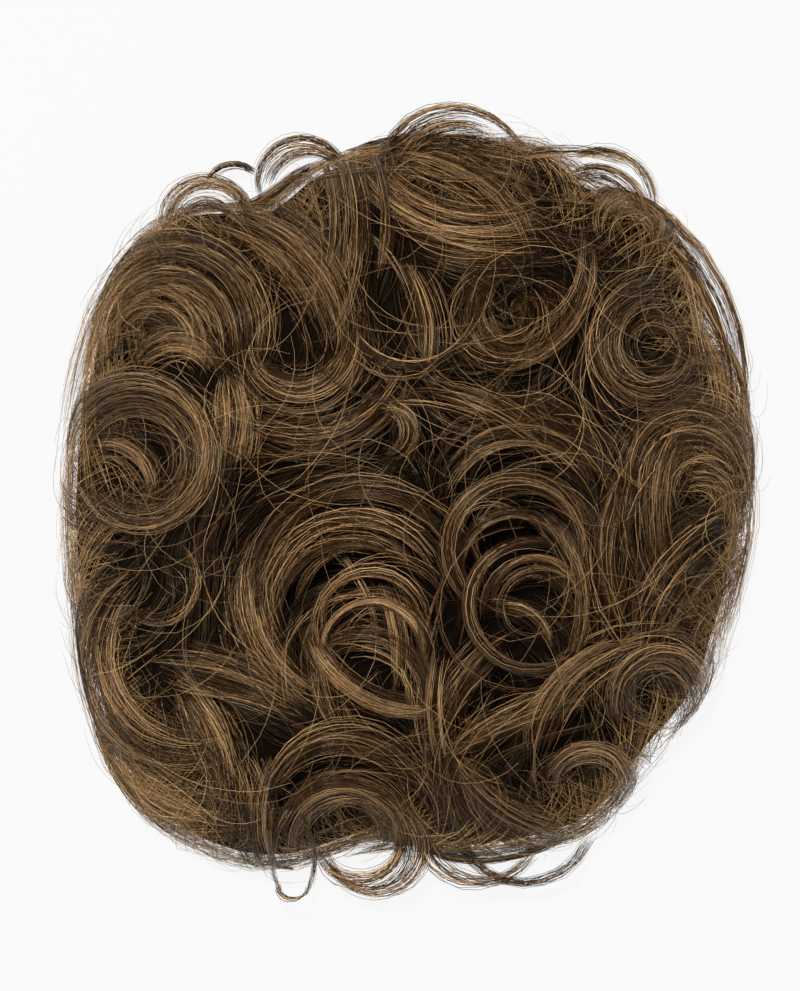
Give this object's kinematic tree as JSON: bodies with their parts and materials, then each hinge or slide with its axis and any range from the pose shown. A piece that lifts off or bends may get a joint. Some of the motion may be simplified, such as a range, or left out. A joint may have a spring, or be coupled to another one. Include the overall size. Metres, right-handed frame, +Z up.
{
  "type": "hair topper",
  "caption": "Curly brown clip-in hair topper: loose curled locks over a shallow oval net base that fits the crown of a head.",
  "frame": {"origin": "middle of the footprint, on the surface that the topper lies on", "axes": "+Z up, +Y towards the front hairline (the picture's top edge), +X to the picture's right"},
  "size_m": [0.2096, 0.238, 0.0735],
  "materials": {
    "hair": "satin brown hair fibre",
    "net": "fine dark brown net",
    "clip": "dark brown lacquer"
  },
  "bodies": {
    "root": {"base_cap": "net", "hair_crown": "hair", "hair_front": "hair", "hair_left": "hair", "hair_right": "hair", "hair_nape": "hair", "clip_front": "clip", "clip_left": "clip", "clip_right": "clip", "clip_nape": "clip"}
  },
  "joints": []
}
